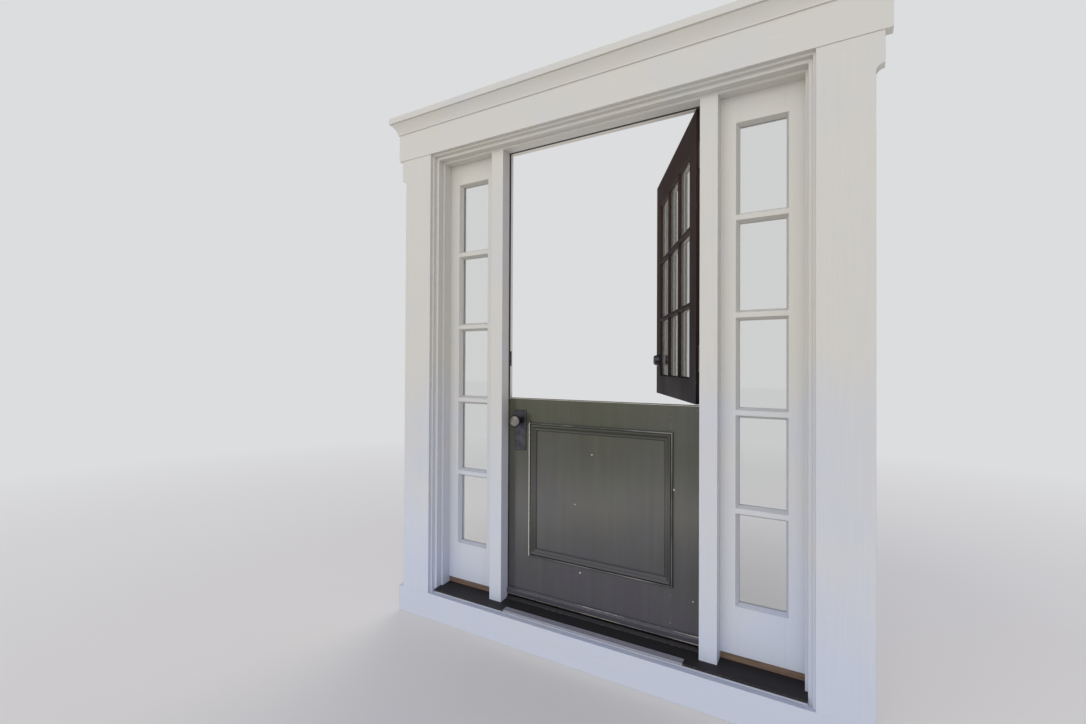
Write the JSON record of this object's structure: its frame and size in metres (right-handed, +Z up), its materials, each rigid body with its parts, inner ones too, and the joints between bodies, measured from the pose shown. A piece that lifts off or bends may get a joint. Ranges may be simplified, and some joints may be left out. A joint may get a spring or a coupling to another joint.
{
  "type": "dutch stable door",
  "caption": "Dutch stable door split into a glazed upper leaf and a panelled lower leaf, hung in a frame with glazed sidelights, pilasters, a moulded head and a sloping sill.",
  "frame": {"origin": "underside of the riser board, on the doorway's centre line and mid-way through the board", "axes": "+X to the right as seen from outside, +Y into the house, +Z up"},
  "size_m": [2.1632, 1.0224, 2.478],
  "materials": {
    "trim_paint": "painted, satin, warm white",
    "lower_paint": "painted, gloss, dark olive grey, worn edges",
    "upper_paint": "painted, satin, dark brown",
    "sill_paint": "painted, near black, dusty",
    "bare_wood": "bare, weathered",
    "nosing": "ribbed, dark anodised",
    "glass": "clear",
    "seal_rubber": "matte",
    "hinge_steel": "satin",
    "bolt_steel": "satin",
    "dark_bronze": "darkened, satin",
    "pewter": "satin, worn bright"
  },
  "bodies": {
    "frame": {"riser_board": "trim_paint", "sub_sill": "trim_paint", "sill": "sill_paint", "threshold": "sill_paint", "sill_nosing": "nosing", "pilaster_left": "trim_paint", "pilaster_right": "trim_paint", "frieze": "trim_paint", "crown": "trim_paint", "casing_left": "trim_paint", "casing_right": "trim_paint", "casing_head": "trim_paint", "outer_jamb_left": "trim_paint", "outer_jamb_right": "trim_paint", "head_jamb": "trim_paint", "post_left": "trim_paint", "post_right": "trim_paint", "sidelight_sill_strips": "bare_wood", "sidelight_stiles_left": "trim_paint", "sidelight_stiles_right": "trim_paint", "sidelight_rails_left": "trim_paint", "sidelight_rails_right": "trim_paint", "sidelight_glass_left": "glass", "sidelight_glass_right": "glass", "sidelight_beads_left": "trim_paint", "sidelight_beads_right": "trim_paint", "weatherstrips": "seal_rubber", "strike_plates": "dark_bronze", "frame_hinge_leaves": "hinge_steel", "hinge_pins": "hinge_steel"},
    "lower_leaf": {"lower_hinge_stile": "lower_paint", "lower_latch_stile": "lower_paint", "lower_top_rail": "lower_paint", "lower_bottom_rail": "lower_paint", "lower_panel": "lower_paint", "panel_mouldings": "lower_paint", "drip_strip": "lower_paint", "door_sweep": "seal_rubber", "latch_case": "bolt_steel", "knob_plates": "dark_bronze", "bolt_keeper": "dark_bronze", "lower_hinge_leaves": "hinge_steel"},
    "knob": {"knobs": "pewter", "knob_spindle": "bolt_steel"},
    "latch": {"latch_bolt": "bolt_steel"},
    "upper_leaf": {"upper_hinge_stile": "upper_paint", "upper_latch_stile": "upper_paint", "upper_top_rail": "upper_paint", "upper_bottom_rail": "upper_paint", "upper_muntins": "upper_paint", "upper_glass": "glass", "upper_beads": "upper_paint", "upper_hinge_leaves": "hinge_steel", "deadbolt_case": "bolt_steel", "deadbolt_roses": "dark_bronze", "leaf_bolt_plate": "dark_bronze"},
    "deadbolt": {"deadbolt_bolt": "bolt_steel"},
    "turn": {"deadbolt_turn": "dark_bronze"},
    "leaf_bolt": {"leaf_bolt": "bolt_steel"}
  },
  "joints": [
    {"name": "upper_leaf_hinge", "type": "hinge", "parent": "frame", "child": "upper_leaf", "pos_m": [0.4587, 0.1555, 1.66], "axis": [0, 0, -1], "range_deg": [-62.2, 42.8]},
    {"name": "lower_leaf_hinge", "type": "hinge", "parent": "frame", "child": "lower_leaf", "pos_m": [0.4587, 0.1555, 0.63], "axis": [0, 0, -1], "range_deg": [0, 105]},
    {"name": "knob_turn", "type": "hinge", "parent": "lower_leaf", "child": "knob", "pos_m": [-0.381, 0.12625, 0.979], "axis": [0, 1, 0], "range_deg": [0, 60]},
    {"name": "latch_slide", "type": "slide", "parent": "lower_leaf", "child": "latch", "axis": [-1, 0, 0], "range_m": [0, 0.012]},
    {"name": "deadbolt_turn_hinge", "type": "hinge", "parent": "upper_leaf", "child": "turn", "pos_m": [0.03831, 0.89013, 1.265], "axis": [0.8846, 0.4664, 0], "range_deg": [0, 90]},
    {"name": "deadbolt_slide", "type": "slide", "parent": "upper_leaf", "child": "deadbolt", "axis": [-0.4664, 0.8846, 0], "range_m": [0, 0.025]},
    {"name": "leaf_bolt_slide", "type": "slide", "parent": "upper_leaf", "child": "leaf_bolt", "axis": [0, 0, -1], "range_m": [0, 0.024]}
  ],
  "couplings": [
    {"joint": "latch_slide", "follows": "knob_turn", "m_per_rad": 0.011459},
    {"joint": "deadbolt_slide", "follows": "deadbolt_turn_hinge", "m_per_rad": 0.015915}
  ]
}
